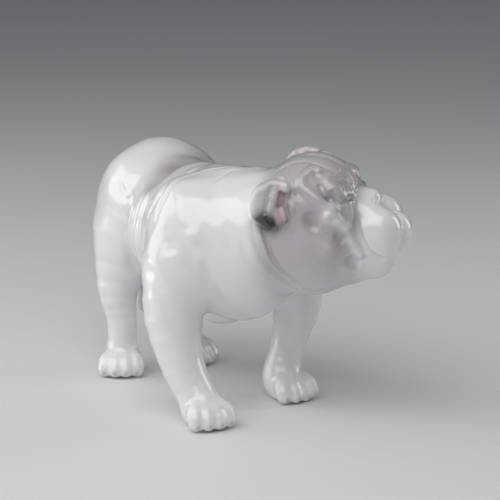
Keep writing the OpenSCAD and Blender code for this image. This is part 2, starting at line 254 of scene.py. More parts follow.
def trunk_clay(p):
    d = ball(p, (fore_x - 27, 0, 87.5), (50, 35, 36), (0, 2, 0))
    d = joined(d, ball(p, (fore_x + 7, 0, 80), (28, 28, 32)), 14)
    d = joined(d, ball(p, (fore_x - 51, 0, 88), (30, 33.5, 29)), 14)
    for side in SIDES:
        d = joined(d, ball(p, (fore_x - 7, side * 27, 88), (24, 18, 33), (0, -8, 0)), 12)
    d = joined(d, ball(p, (hind_x + 6, 0, 99.5), (31, 31, 31.5)), 18)
    for side in SIDES:
        d = joined(d, ball(p, (hind_x + 1.5, side * 18.7, 83), (23.5, 15.5, 34), (0, 6, 0)), 14)
    d = joined(d, roll(p, (fore_x + 1, 0, 94.5), (fore_x + 27, 13, 98.5), 30.5, 29.5), 14)
    d = joined(d, ball(p, (fore_x - 20, 1, 59), (25, 17, 19)), 6)
    d = joined(d, ball(p, (hind_x + 15, 0, 60), (8, 8, 9)), 4)
    return joined(d, coil(p, [(GROIN[0] + 3, -1, 60), (*GROIN, 48), (*GROIN, 36.5)], [6, 5, 7.3]), 3)


# %% [markdown]
# ## Legs and paws
#
# The forelegs are thick and bowed, the right one stepped forward, and the hind legs are
# straighter. Each paw is a pad with four long toes laid over it, each one a coil that rises
# over its knuckle and drops to the tip. The soft grooves are where two coils meet.

# %% Legs
TOES = (-1, -0.34, 0.34, 1)


def on_paw(name, v):
    """A place on a paw, given from the middle of its sole."""
    return paws[name] * (1, 1, 0) + turned(PAW_TURN[name], 0, 0) @ np.array(v, float)


def paw_clay(p, name, d):
    q = (p - on_paw(name, (0, 0, 0))) @ turned(PAW_TURN[name], 0, 0)
    d = joined(d, ball(q, (-0.5, 0, 6.5), (12, 10.8, 8.8)), 6)
    for f in TOES:
        toe = coil(q, [(-3, 3.6 * f, 11.2), (4, 6.6 * f, 10.4), (8.6 - 1.6 * f * f, 8.1 * f, 8.2),
                       (11.6 - 2.2 * f * f, 8.7 * f, 4.6)], [3.0, 4.0, 4.3, 3.9], 2)
        d = joined(d, toe, 1.9)
    return d


def leg_clay(p, name, route, radii):
    """A leg down to its ankle, which is given from the middle of the sole like the toes."""
    *above, ankle = route
    return paw_clay(p, name, coil(p, above + [tuple(on_paw(name, ankle))], radii))


def foreleg_clay(p, side):
    if side == LEFT:
        x, y = paws["left_fore"][:2]
        route = [(fore_x - 4, 33, 78), (fore_x - 1.5, 37.3, 52), (x - 5.5, y + 4, 30), (-4.5, -1.5, 13)]
        return leg_clay(p, "left_fore", route, [16.5, 13.3, 9.2, 9.4])
    x, y = paws["right_fore"][:2]
    route = [(fore_x - 3, -33, 78), (fore_x + 0.5, -37.3, 52), (x - 13, y - 5, 27), (-4, -1, 12)]
    return leg_clay(p, "right_fore", route, [17, 14, 10.8, 9.6])


def hind_leg_clay(p, side):
    name = "left_hind" if side == LEFT else "right_hind"
    x, y = paws[name][:2]
    route = [(hind_x, side * 19, 78), (hind_x, y, 50), (hind_x + 2, y + 1, 30), (-2.5, 0, 12)]
    return leg_clay(p, name, route, [18, 11.6, 8.1, 8.4])


def with_near(p, d, at, reach, lump, thumb):
    """Joins a lump, worked out only for the points near it."""
    here = ((p - np.array(at, float))**2).sum(1) < reach**2
    if here.any():
        d[here] = joined(d[here], lump(p[here]), thumb)
    return d


LEG_REACH = 72
LEG_THUMB = 8


def body_clay(p):
    d = trunk_clay(p)
    for side in SIDES:
        d = with_near(p, d, (fore_x + 8, side * 34, 40), LEG_REACH,
                      lambda q, s=side: foreleg_clay(q, s), LEG_THUMB)
        d = with_near(p, d, (hind_x + 3, side * 24, 40), LEG_REACH,
                      lambda q, s=side: hind_leg_clay(q, s), LEG_THUMB)
    return d


# %% [markdown]
# ## The tail
#
# A bulldog's tail is a short screw set low on the rump. It is one curled roll, thin at the tip.

# %% Tail
tail_low, tail_high = (np.array(corner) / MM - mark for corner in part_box("tail"))
tail_root = np.array([tail_high[0] + 1, (tail_low[1] + tail_high[1]) / 2, tail_high[2] - 5])
TAIL_REACH = 24


def tail_clay(p):
    drop = tail_high[2] - tail_low[2]
    bends = [tail_root, tail_root + (-6, 0.6, -1), tail_root + (-9, 1.6, 2 - drop / 2),
             tail_root + (-9.5, 2.6, 5 - drop)]
    return coil(p, bends, [5, 4.2, 3.4, 2.2])


# %% [markdown]
# ## The head's masses
#
# The head has its own axes: x to the muzzle, y to the dog's left and z up, turned 43 degrees
# to the dog's left and tilted. A bulldog's skull is a broad box, the muzzle is short and set
# high, the flews hang outside the jaw, and the chin stands in front of them. The muzzle turns
# a little further than the skull, which gives the face its look over the shoulder.

# %% Head
head_axes = turned(43, 0, 10).T


def to_head(p):
    return (p - skull_at) @ head_axes.T


def from_head(q):
    return q @ head_axes + skull_at


MUZZLE_TURN = 10
muzzle_root = np.array([15.0, 0, 0])


def muzzle_clay(q):
    """The flews, the lips and the nose, about the muzzle's own axis."""
    d = joined(ball(q, (27, 9.3, -4), (11.8, 10.4, 12)), ball(q, (27, -9.3, -4), (11.8, 10.4, 12)), 4)
    for side in SIDES:
        d = joined(d, ball(q, (20, side * 6.5, 5), (7, 6.2, 6.4)), 5)
        d = joined(d, ball(q, (26, side * 11.5, -16), (10, 7, 9.5), (0, -30, 0)), 6)
        d = joined(d, ball(q, (25.5, side * 8, -24.5), (4.5, 4.5, 4)), 8)
    return joined(d, ball(q, (22.3, 0, 10), (6.3, 6.4, 4.4)), 4)


def head_clay(q):
    d = ball(q, (-5, 0, 8.5), (24.5, 26, 22.5))
    d = joined(d, ball(q, (-8, 0, -22), (26, 22, 19)), 10)
    for side in SIDES:
        d = joined(d, ball(q, (-3, side * 15, -8), (23, 14.5, 26)), 9)
        d = joined(d, ball(q, (5, side * 12, 15), (8.5, 8.5, 8)), 4)
    d = joined(d, ball(q, (15.5, 0, 5), (10, 8.5, 9)), 5)
    for side in SIDES:
        d = joined(d, ball(q, (16, side * 12, -16), (12.5, 9.5, 14), (0, -15, 0)), 6)
    d = joined(d, ball(q, (14, 0, -20.5), (20, 15, 11), (0, -24, 0)), 6)
    for side in SIDES:
        d = joined(d, ball(q, (8.6, side * 14.6, 16.4), (3.8, 4.6, 5.2), (0, 30, 0)), 3)
        d = joined(d, ball(q, (13.7, side * 14.2, 7.5), (3.6, 3.8, 5.6), (0, 18, 0)), 2)
    m = (q - muzzle_root) @ turned(MUZZLE_TURN, 0, 0) + muzzle_root
    d = joined(d, muzzle_clay(m), 3)
    return joined(d, ball(m, (36.5, 0, -7.6), (7.1, 9, 9.4)), 1)


# %% [markdown]
# ## Folds of the face
#
# Every fold is drawn once and mirrored, as a mould maker keys both halves of a face from one
# drawing: the C-shaped fold on the temple, the wrinkles of the brow, the squinting eye, the
# pouch below it, the ridge down the cheek, the groove round the flew and the skin of the neck.

# %% Draw the folds
def mirrored(points):
    """The same line on both sides of the face."""
    return [[(x, side * y, z) for x, y, z in points] for side in SIDES]


FACE_FOLDS = [
    # fold of the temple, which comes down as the lower lid
    ([(4, 13, 26.5), (2, 12.5, 28), (-1, 13, 29), (-3.5, 15, 28), (-5.5, 17.5, 26),
      (-5.5, 20.5, 24), (-4, 22.5, 22), (-0.5, 24, 20), (2.5, 24.5, 17.5), (6, 24.5, 15),
      (8.5, 24, 13.5), (11, 23, 12.5), (13, 20.5, 13)], 2.1, 2.4, 0.08),
    # the upper lid and the hollow between the lids
    ([(4, 14.5, 26), (6, 15.5, 23.5), (8.5, 17, 21.5), (11, 17.5, 19), (13.5, 16, 16.5)],
     2.4, 0.8, 0.2),
    ([(-1, 15.5, 27), (2, 17, 25), (4, 18.5, 22.5)], 2.2, -0.5, 0.3),
    ([(2.5, 18.3, 23), (4.5, 20, 20), (7, 21.2, 17), (9.5, 21.6, 14.5)], 1.2, -2.9, 0.18),
    ([(8, 19.5, 20), (10.3, 20, 17.5), (11.3, 20.5, 15.5), (11, 21.5, 13.5)], 1.7, -1.5, 0.25),
    # wrinkles of the brow, each a crease with a roll of skin beside it
    ([(9, 6, 25), (11.5, 4.7, 23), (13.5, 4.7, 21), (15.2, 6, 18.5)], 1.1, -1.6, 0.2),
    ([(10.5, 9.5, 23), (13, 8.5, 20.5), (15, 8.5, 18), (16, 9, 15.5)], 1.1, 1.2, 0.25),
    ([(10, 11.5, 22.5), (12.8, 12.2, 20), (14.8, 12, 16.5)], 0.9, -1.5, 0.25),
    ([(-5.5, 8, 29), (2.5, 9.5, 28), (8, 9, 25.5), (10.5, 8.5, 24.5)], 0.9, -0.9, 0.25),
    # squinting eye
    ([(14.5, 14, 15), (16, 11.5, 13.7), (17.3, 9, 13)], 1.2, -2.0, 0.25),
    # pouch below the eye
    ([(12.5, 19.5, 11.5), (14, 17.3, 13.6), (15, 14.5, 13.6)], 0.8, -1.3, 0.2),
    ([(14.5, 17, 12.5), (17, 16.5, 10), (18, 15.5, 6), (18, 16, 3)], 1.2, 1.1, 0.25),
    ([(13.3, 19.8, 10.5), (14.7, 19.7, 7), (17, 18.7, 3.5)], 1.4, -1.6, 0.25),
    # ridge down the cheek, with its flat end, and the hollow beside the flew
    ([(5.5, 26, 9.3), (8.5, 26, 9.6), (11, 24.8, 9), (12.8, 23.4, 7), (14.8, 22.3, 3.5),
      (17, 22, 0), (18.9, 21.5, -4), (21.5, 21, -9.5), (23.6, 19.8, -14.5)], 1.7, 3.0, 0.1),
    ([(17, 19.5, 1.5), (19, 20, -3), (21, 20, -7.5)], 1.2, -1.4, 0.25),
    # groove beside the flew and the flew's hem
    ([(18.5, 13, 9.5), (19, 14.5, 4), (21, 17.5, -0.5), (23, 18.3, -6), (25.5, 18.2, -11),
      (30, 18, -14.5), (35, 15.5, -16.5)], 1.3, -1.8, 0.15),
    ([(21.5, 14.5, 6), (23, 17.5, 0.5), (25.5, 18.6, -5), (28.5, 18.6, -9.5), (33, 17, -13),
      (37, 13, -15)], 1.2, 0.8, 0.2),
    # hollows and swells of the cheek
    ([(-1.5, 26, 11.5), (-0.5, 26.4, 7.5), (1.5, 27, 5), (5.5, 27, 3.5)], 2.1, -2.2, 0.25),
    ([(9.5, 25, -0.5), (13.5, 23.8, -2.3), (16.5, 23, -5)], 3.0, -1.5, 0.35),
    ([(16, 22.5, -12), (19.5, 21.5, -16), (23, 20, -17.5)], 2.6, -1.8, 0.3),
    # jaw line and the roll of skin below it
    ([(-8.5, 23.5, -29), (-2, 22.5, -31.5), (4, 21, -31.5), (12.5, 18, -29), (19, 16.5, -27),
      (25, 15, -26)], 1.1, -1.5, 0.2),
    # in front of the ear
    ([(-12, 25, 14), (-11.3, 26, 11), (-11, 27.5, 7), (-11.5, 28.5, 3)], 1.2, -1.2, 0.3),
    ([(-10.5, 24.5, 16), (-9.3, 26, 12), (-8.3, 27.5, 8)], 1.2, 1.3, 0.25),
    # loose skin over the skull
    ([(-24, 9, 22), (-19, 7.5, 26), (-10.5, 7.5, 29), (-3.5, 8, 29.5)], 1.1, -0.9, 0.25),
    # wing of the nostril
    ([(27, 5.5, 12.5), (25.5, 6.3, 10.5)], 0.8, -0.5, 0.3),
]
MIDDLE_FOLDS = [
    ([(-14, 0, 31), (-4, 0, 32.5), (6, 0, 29), (13, 0, 22)], 1.6, -1.2, 0.3),
    ([(11.5, 3.5, 24), (15, 0.5, 20.5), (16.7, -2.5, 18)], 0.9, -1.1, 0.25),
    ([(28.8, 2.4, 11), (32.7, 3.1, 7), (37, 4, 1)], 1.0, -1.3, 0.2),
    ([(16.5, -8, 14), (17.5, 0, 15.5), (16.5, 8, 14)], 1.0, -1.3, 0.25),
    ([(-5, 13, 29), (3, 14, 27), (8, 15, 23), (12, 16, 18)], 4.5, -1.5, 0.3),
]
FACE_DABS = [
    ((16.5, 12, 13), (1.4, 1.7, 1.1), 0.9),
    ((1, 27.3, 7.5), (3.6, 3.4, 4.0), -1.3),
    ((10.5, 28, -6.5), (4.5, 5, 5.5), 1.9),
    ((8, 26, 9.3), (3, 2.5, 1.8), 0.6),
    ((17, 22, -20.5), (4, 4, 3.5), 1.2),
    ((-8, 27, -6), (8, 4, 10), 1.0),
    ((27.5, 3.5, 11), (1.2, 1.1, 1.0), -0.6),
]
face_strokes = [stroke(head_clay, line, *size)
                for points, *size in FACE_FOLDS for line in mirrored(points)]
face_strokes += [stroke(head_clay, points, *size) for points, *size in MIDDLE_FOLDS]
face_dabs = [((x, side * y, z), widths, height)
             for (x, y, z), widths, height in FACE_DABS for side in SIDES]


def head_skin(q):
    return dabbed(q, marked(q, head_clay(q), face_strokes), face_dabs)


print(len(face_strokes), "strokes and", len(face_dabs), "dabs on the face")

# %% [markdown]
# ## The rose ears
#
# Each ear folds back on itself, so the burr inside shows. It is a thin flap, a rolled rim, a
# small knob where the rim meets the brow, and a pink hollow with its inner fold. The left ear
# is thrown further forward and shows only its smooth back.

# %% Ears
EAR_SET = {LEFT: (2.4, 0, 0.3), RIGHT: (0, 0, 0)}


def ear_clay(q, side):
    q = (q - EAR_SET[side]) * (1, side, 1)
    d = ball(q, (-20.5, 21.5, 14.5), (6, 6.5, 8.5))
    d = joined(d, ball(q, (-22.6, 27.5, 13), (6.2, 3.8, 9.3), (10, -8, 0)), 4)
    rim = [(-27, 27.5, 10.5), (-26.2, 27, 16), (-23.2, 26, 21.2), (-18, 25, 23.8), (-14.6, 25.2, 23.8),
           (-11.8, 25.6, 22.6)]
    d = joined(d, coil(q, rim, [2.4, 2.7, 2.6, 2.4, 2.1, 2.8]), 3)
    d = joined(d, roll(q, (-24.3, 28.3, 9), (-18.5, 30, 4), 3.7, 2.9), 3)
    d = joined(d, ball(q, (-13.5, 23, 14.5), (5, 2.8, 6.5)), 2)
    if side == LEFT:
        return d
    lip = [(-16.4, 26.5, 23), (-16.8, 29, 18), (-18.3, 30.2, 12), (-18.4, 30, 8)]
    d = joined(d, coil(q, lip, [1.6, 1.5, 1.5, 1.3]), 1.6)
    d = joined(d, roll(q, (-16.8, 29.2, 11.5), (-15, 29, 6.8), 1.9, 2.5), 0.9)
    return joined(d, roll(q, (-13.9, 27.4, 12), (-12.8, 28.2, 7.6), 1.5, 1.9), 0.8)


EAR_FOLDS = [
    ([(-14.2, 27, 22), (-14.4, 26, 17), (-15, 27.5, 13)], 1.4, -1.8, 0.25),
    ([(-19.5, 30, 19), (-21, 31.5, 13), (-21, 31.5, 9)], 1.4, -0.9, 0.3),
]
ear_strokes = {side: [stroke(lambda p, s=side: ear_clay(p, s),
                             [(x, side * y, z) for x, y, z in points], *size)
                      for points, *size in (EAR_FOLDS if side == RIGHT else [])] for side in SIDES}


def ear_skin(q, side):
    return marked(q, ear_clay(q, side), ear_strokes[side])


# %% [markdown]
# ## Folds of the body
#
# The skin hangs in loose rolls over the shoulder and the flank, dips over the loin and
# creases where the legs leave the trunk.

# %% Draw the body's folds
BODY_FOLDS = [
    # over the withers and down behind the shoulder blade
    ([(fore_x + 4, 2, 126), (fore_x - 3, 7, 125.5), (fore_x - 8, 14, 124.5), (fore_x - 8, 22, 122),
      (fore_x - 6, 31, 118), (fore_x - 5, 37, 113), (fore_x - 5, 41, 106), (fore_x - 5, 43, 98)],
     1.4, -0.8, 0.2),
    ([(fore_x + 10, 3, 126), (fore_x + 6, 6, 125.5), (fore_x + 7, 12, 123), (fore_x + 9, 19, 120)],
     1.3, -0.6, 0.3),
    ([(fore_x - 22, 6, 124), (fore_x - 21, 16, 121.5), (fore_x - 15, 28, 119),
      (fore_x - 10, 35, 115), (fore_x - 11, 40, 110), (fore_x - 14, 42, 104), (fore_x - 15, 43, 95)],
     1.5, -1.0, 0.2),
    ([(fore_x - 2, 44, 104), (fore_x - 1, 45, 92)], 4.0, 0.5, 0.4),
    ([(fore_x + 12, 34, 100), (fore_x + 14, 32, 88)], 3.5, 0.6, 0.4),
    ([(fore_x + 6, 40, 96), (fore_x + 7, 40, 84)], 3.5, -0.6, 0.4),
    # dip over the loin
    ([(hind_x + 38, 2, 124), (hind_x + 43, 12, 121), (hind_x + 44, 22, 114),
      (hind_x + 46, 29, 106)], 6.0, -1.8, 0.3),
    # hollow of the hip
    ([(hind_x + 16, 30, 111), (hind_x + 22, 31.5, 106), (hind_x + 31, 31, 105)], 1.8, -0.9, 0.3),
    ([(hind_x + 24, 30, 109), (hind_x + 33, 32, 104), (hind_x + 36, 34, 99)], 1.5, -0.7, 0.3),
    # where the thigh meets the flank, and the furrow beside the breastbone
    ([(hind_x + 26, 34, 93), (hind_x + 26, 33, 85), (hind_x + 25, 31, 75), (hind_x + 21, 27, 65),
      (hind_x + 17, 22, 56)], 3.2, -2.2, 0.25),
    ([(fore_x + 14, 26, 88), (fore_x + 17, 20, 70), (fore_x + 14, 14, 58)], 3.0, -1.2, 0.3),
]
FLANK_ARCS = [
    [(45, 27, 112), (51, 33, 104), (51, 36, 97), (51, 37, 88), (48, 36, 79), (43, 33, 70)],
    [(43, 28, 110), (44, 33, 102), (44, 36, 93), (42, 36, 83.5), (38, 33, 72), (30, 27, 62)],
    [(37, 31, 106), (37, 35, 97), (36, 36, 88), (33, 34, 78), (28, 29, 68)],
    [(56, 30, 112), (58, 35, 104), (58, 38, 94), (57, 38, 84), (53, 36, 74)],
]
for arc in FLANK_ARCS:
    BODY_FOLDS.append(([(hind_x + x, y, z) for x, y, z in arc], 1.0, -0.55, 0.2))
    BODY_FOLDS.append(([(hind_x + x + 2.4, y, z) for x, y, z in arc], 1.3, 0.35, 0.25))
body_strokes = [stroke(body_clay, line, *size)
                for points, *size in BODY_FOLDS for line in mirrored(points)]
HEAD_REACH = 66
HEAD_THUMB = 5
NECK_FOLDS = [
    ([(-27, 25, 5), (-26, 27.5, 1.5), (-24.5, 28.5, -2.5), (-23, 29, -7), (-21, 28.5, -14),
      (-17.5, 27, -20.5), (-13, 26, -24.5), (-9, 24, -29), (-4, 20, -34)], 1.2, 1.5, 0.1),
    ([(-24.5, 27, 3), (-22.5, 29, -2), (-21, 29.5, -7), (-19, 29, -13), (-15.5, 27.5, -19),
      (-11, 25.5, -24), (-6, 23, -29)], 1.1, -1.5, 0.12),
    ([(-30, 24, 6), (-29, 26, 0), (-27.5, 28, -5), (-25.5, 28.5, -11), (-22.5, 28, -17.5),
      (-18.5, 26, -24), (-14, 24, -30), (-9, 20, -35)], 1.3, -1.5, 0.12),
    ([(-18.5, 28.5, -14), (-15, 27.5, -19), (-11, 25.5, -24), (-7, 24, -28.5)], 1.0, 0.9, 0.2),
    ([(-35, 22, -4), (-33, 25, -12), (-29, 25, -21), (-23, 23, -29)], 2.2, -0.9, 0.25),
]
print(len(body_strokes), "strokes on the body")


# %% [markdown]
# ## The whole clay model
#
# The skin of the whole dog is one function. The head is worked out only near the head, the
# soles are pressed flat on the bench, and the edges there stay slightly round.

# %% One function for the dog
def whole_clay(p):
    """The body and the head before any fold is drawn."""
    d = marked(p, body_clay(p), body_strokes)
    return with_near(p, d, skull_at, HEAD_REACH, lambda near: head_clay(to_head(near)), HEAD_THUMB)


neck_strokes = [stroke(whole_clay, from_head(np.array(line, float)), *size)
                for points, *size in NECK_FOLDS for line in mirrored(points)]


def hand_marks(p):
    """The slow unevenness that hands leave in a big form."""
    along = np.sin(0.36 * p[:, 0] + 0.13 * p[:, 2])
    round_it = np.cos(0.31 * p[:, 1] + 0.16 * p[:, 2])
    forward = np.clip((p[:, 0] - hind_x - 25) / 30, 0, 1)
    return (0.08 + 0.17 * forward) * along * round_it * np.clip(p[:, 2] / 70, 0, 1)


EAR_THUMB = 1.2
SOLE_EDGE = 1.2


def dog_skin(p):
    d = marked(p, body_clay(p), body_strokes) + hand_marks(p)
    d = with_near(p, d, tail_root, TAIL_REACH, tail_clay, 2.5)

    def head_and_ears(near):
        q = to_head(near)
        e = head_skin(q)
        for side in SIDES:
            e = joined(e, ear_skin(q, side), EAR_THUMB)
        return e

    d = with_near(p, d, skull_at, HEAD_REACH, head_and_ears, HEAD_THUMB)
    d = marked(p, d, neck_strokes)
    return -joined(-d, p[:, 2], SOLE_EDGE)


# %% [markdown]
# ## From distances to a mesh
#
# The function is read on a grid, coarse everywhere and fine only close to the skin, and
# OpenVDB turns the grid into a mesh. Each vertex is then moved onto the exact skin, so the
# grid's steps vanish. The points go through in chunks on every core, which keeps it quick.

# %% Read the skin on a grid
PITCH = 0.7
READ_WITHIN = 4.2
CHUNK = 40000
LOW = np.array([hind_x - 48, -60, -3.0])
HIGH = np.array([fore_x + 84, 72, 146])


def in_chunks(function, points):
    parts = np.array_split(points, max(1, len(points) // CHUNK))
    with ThreadPoolExecutor() as pool:
        return np.concatenate(list(pool.map(function, parts)))


def grid_points(cells, pitch):
    return LOW + np.array(cells).T * pitch


def read_grid(function, pitch, wanted, values):
    cells = np.nonzero(wanted)
    values[cells] = in_chunks(function, grid_points(cells, pitch))
    return values


def finer(values):
    for axis in range(3):
        values = np.repeat(values, 2, axis)
    return values


coarse_shape = tuple(np.ceil((HIGH - LOW) / (4 * PITCH)).astype(int) + 1)
values = np.zeros(coarse_shape)
values = read_grid(dog_skin, 4 * PITCH, np.ones(coarse_shape, bool), values)
for pitch in (2 * PITCH, PITCH):
    values = finer(values)
    close = np.abs(values) < pitch * READ_WITHIN
    values = read_grid(dog_skin, pitch, close, values)
print("Fine grid:", values.shape, "with", int(close.sum()), "readings near the skin")

# %% Make the mesh
grid = openvdb.FloatGrid(10.0)
grid.copyFromArray(values.astype(np.float32))
corners, quads = grid.convertToQuads(0.0)
corners = corners.astype(float) * PITCH + LOW
quads = quads.astype(np.int64)
for _ in range(2):
    push = in_chunks(lambda p: slope(dog_skin, p) * dog_skin(p)[:, None], corners)
    corners = corners - np.clip(push, -PITCH, PITCH)
short = (np.linalg.norm(corners[quads[:, 0]] - corners[quads[:, 2]], axis=1)
         < np.linalg.norm(corners[quads[:, 1]] - corners[quads[:, 3]], axis=1))
first = np.where(short[:, None], quads[:, [0, 1, 2]], quads[:, [0, 1, 3]])
second = np.where(short[:, None], quads[:, [0, 2, 3]], quads[:, [1, 2, 3]])
faces = np.concatenate([first, second])
print("Skin:", len(corners), "vertices,", len(faces), "triangles")

# %% [markdown]
# ## Cut at the joints
#
# The castings meet at flat seams where the maker lutes them: one at the neck, one at the top
# of each leg, and a small seat under each ear and the tail. The mesh is cut along each
# seam, and both sides keep the same cut points, so no gap shows.

# %% Seams
def plane(normal, through):
    normal = np.array(normal, float)
    normal /= np.linalg.norm(normal)
    return lambda p: (p - np.array(through, float)) @ normal


neck_plane = plane((0.82, 0.47, 0.34), (fore_x + 25, 10, 100))
EAR_SEAT = np.array([-18, 26, 13])
EAR_ROOM = 21
SEAT_MARGIN = 0.8
STRIP = 4
PEAR_FOOT = 28
PEAR_ROOM = 9.6


def from_ear(p, side):
    return np.linalg.norm(to_head(p) - EAR_SEAT * (1, side, 1), axis=1)


def neck_seam(p):
    """The plane of the neck, with the seats of both ears kept on the head."""
    nearest = np.minimum(from_ear(p, LEFT), from_ear(p, RIGHT))
    return np.maximum(neck_plane(p), EAR_ROOM + SEAT_MARGIN - nearest)


def foreleg_seam(side):
    """The top of a foreleg, with a strip of torso left between it and the head."""
    cut = plane((0.2, side * 0.66, -0.72), (fore_x - 3, side * 16.24, 50))
    throat = plane((0.74, 0, 0.67), (fore_x + 20, 0, 62))
    return lambda p: np.minimum.reduce([cut(p), p[:, 0] - fore_x + 42, -neck_seam(p) - STRIP,
                                        side * p[:, 1], -throat(p)])


def hind_leg_seam(side):
    """The top of a hind leg. What hangs between the two legs stays on the torso."""
    cut = plane((-0.3, side * 0.6, -0.74), (hind_x + 1, side * 8, 62))


    def part(p):
        behind = np.minimum(np.minimum(cut(p), fore_x - 42 - p[:, 0]), side * (p[:, 1] - GROIN[1]))
        beside = side * (p[:, 1] - GROIN[1]) - PEAR_ROOM
        return np.where(p[:, 2] > PEAR_FOOT, np.minimum(behind, beside), behind)
    return part


def ear_seam(side):
    def part(p):
        q = to_head(p)
        return np.where(from_ear(p, side) < EAR_ROOM, head_skin(q) - ear_skin(q, side), -1.0)
    return part


def tail_seam(p):
    near = np.linalg.norm(p - tail_root, axis=1) < TAIL_REACH
    return np.where(near, body_clay(p) - tail_clay(p), -1.0)


SEAMS = [("head", neck_seam), ("left_ear", ear_seam(LEFT)), ("right_ear", ear_seam(RIGHT)),
         ("left_foreleg", foreleg_seam(LEFT)), ("right_foreleg", foreleg_seam(RIGHT)),
         ("left_hind_leg", hind_leg_seam(LEFT)), ("right_hind_leg", hind_leg_seam(RIGHT)),
         ("tail", tail_seam)]


def cut_along(points, faces, labels, depth, label):
    """Cuts the triangles where depth is 0 and labels those where it is over 0."""
    depth = np.where(np.abs(depth) < 1e-4, 1e-4, depth)
    over = (depth > 0)[faces]
    mixed = over.any(1) & ~over.all(1)
    cut, cut_labels = faces[mixed], labels[mixed]
    count = len(cut)
    single = over[mixed].sum(1) == 1
    lone = np.where(single, over[mixed].argmax(1), over[mixed].argmin(1))
    cut = cut[np.arange(count)[:, None], (lone[:, None] + np.arange(3)) % 3]
    edges = np.sort(np.concatenate([cut[:, [0, 1]], cut[:, [0, 2]]]), axis=1)
    edges, which = np.unique(edges, axis=0, return_inverse=True)
    a, b = edges[:, 0], edges[:, 1]
    share = (depth[a] / (depth[a] - depth[b]))[:, None]
    made = which.reshape(-1) + len(points)
    points = np.vstack([points, points[a] + share * (points[b] - points[a])])
    depth = np.concatenate([depth, np.zeros(len(edges))])
    one, two = made[:count], made[count:]
    faces = np.vstack([faces[~mixed], np.stack([cut[:, 0], one, two], 1),
                       np.stack([one, cut[:, 1], cut[:, 2]], 1), np.stack([one, cut[:, 2], two], 1)])
    labels = np.concatenate([labels[~mixed], cut_labels, cut_labels, cut_labels])
    labels = np.where(depth[faces].sum(1) > 0, label, labels)
    return points, faces, labels


names = ["torso"] + [name for name, _ in SEAMS]
labels = np.zeros(len(faces), int)
for k, (name, seam) in enumerate(SEAMS, 1):
    corners, faces, labels = cut_along(corners, faces, labels, in_chunks(seam, corners), k)
for k, name in enumerate(names):
    print(f"{name}: {(labels == k).sum()} triangles")

# %% [markdown]
# ## Underglaze, painted shade and painted highlights
#
# The colour is sprayed before the glaze: mauve grey over the head that fades out on the
# muzzle and the neck, warm grey in the dip of the back that is partly painted shade in that
# hollow, pink in the ears and along the lips, black on the ear tips, and a touch of a brush for
# the eyes, the nostrils and the claws. The face's grey is also deepened in its creases as
# painted shade and thinned on its ridge tops as painted highlights. Each spray is a number from
# 0 to 1 stored on the vertices, and the material mixes the pigments.

# %% Sprays and painted light
def spray(p, at, widths):
    """A puff of the airbrush: strongest in the middle."""
    q = (p - np.array(at, float)) / np.array(widths, float)
    return np.exp(-np.einsum("ij,ij->i", q, q))


def fade(value, start, end):
    """0 before start, 1 after end, smooth between."""
    t = np.clip((value - start) / (end - start), 0, 1)
    return t * t * (3 - 2 * t)


def head_grey(q):
    over_head = fade(q[:, 0], -34, -20) * (1 - fade(q[:, 0], 15, 26))
    low = fade(q[:, 2], -44, -6)
    return over_head * (0.45 + 0.55 * low) * fade(np.linalg.norm(q, axis=1), 60, 44)


def sprays_and_painted_light(p):
    q = to_head(p)
    m = q * (1, 0, 1) + np.abs(q) * (0, 1, 0)
    grey = head_grey(q)
    # Spots where the grey is thinned: along the cheek ridge and the lower lid's edge they are painted
    # highlights on the ridge tops, at the ear's knob partly its own pale tone and partly a painted
    # highlight, and on the ear's inner lobe the spot lets the pink show.
    for highlight_and_lobe_spot in ((8, 26, 9), (12, 25, 6.5), (15.5, 22.5, 2.5), (19, 21.5, -4),
                 (22, 21, -10), (-12, 25.5, 23), (-14.5, 29, 10), (9, 24, 13)):
        grey *= 1 - 0.75 * spray(m, highlight_and_lobe_spot, (3, 4, 3))
    # Grey added in the face's hollows is painted shade: the dip between the lids, the cheek dimple, the
    # crease in front of the ear, round the squinting eye, the hollow beside the cheek ridge and the
    # brow creases.
    for at, widths, strength in (((7.5, 21, 17), (3, 3, 4), 0.45), ((0.5, 27, 7.5), (4.5, 5, 4.5), 0.3),
                                 ((-10, 30, 10), (4, 5, 9), 0.3), ((15, 14, 13), (4, 4, 3), 0.4),
                                 ((13, 24, -2), (4, 4, 4), 0.12), ((12, 12, 21), (3, 5, 4), 0.25)):
        grey = np.clip(grey + strength * spray(m, at, widths) * (m[:, 0] < 26), 0, 1.4)
    # Warm grey over the dip of the back: partly the figure's own spray, partly painted shade in the
    # hollow over the loin.
    dip = np.abs(p) * (0, 1, 0) + p * (1, 0, 1)
    saddle = (spray(dip, (hind_x + 40, 0, 124), (11, 13, 10))
              + spray(dip, (hind_x + 41, 14, 119), (9, 10, 9))
              + 0.8 * spray(dip, (hind_x + 43, 25, 111), (7, 7, 8)))
    pink = (spray(m, (-14.5, 26, 18), (2.0, 4, 5)) + 0.9 * spray(m, (-14.5, 30, 9), (3, 3.5, 4))
            + 0.9 * spray(q, (38.3, -5.5, -2), (1.8, 2.2, 6.5))
            + 0.9 * spray(q, (36.5, 12, -2), (1.8, 2.2, 6.5))
            + 0.5 * spray(m, (28, 3.5, 10.8), (1.2, 1.2, 1.2)))
    black = spray(m, (-21.5, 31, 6), (6, 6, 4.8)) * 1.9
    blue = (spray(m, (16.5, 12.5, 13.4), (1.8, 2.6, 1.3))
            + 0.5 * spray(m, (6, 22, 16.5), (3, 1.5, 1.4)))
    brush = np.zeros(len(p))
    for name in paws:
        for f in TOES:
            claw = on_paw(name, (15.2 - 2.2 * f * f, 8.9 * f, 3.4))
            brush += 0.8 * spray(p, claw, (1.0, 1.0, 1.6))
    brush += 0.5 * spray(m, (27.5, 3.4, 12), (1.3, 1.3, 1.2))
    return {"grey": grey, "saddle": saddle, "pink": pink, "black": black, "blue": blue,
            "brush": brush}


print("Sprays:", ", ".join(sprays_and_painted_light(corners[:10])))
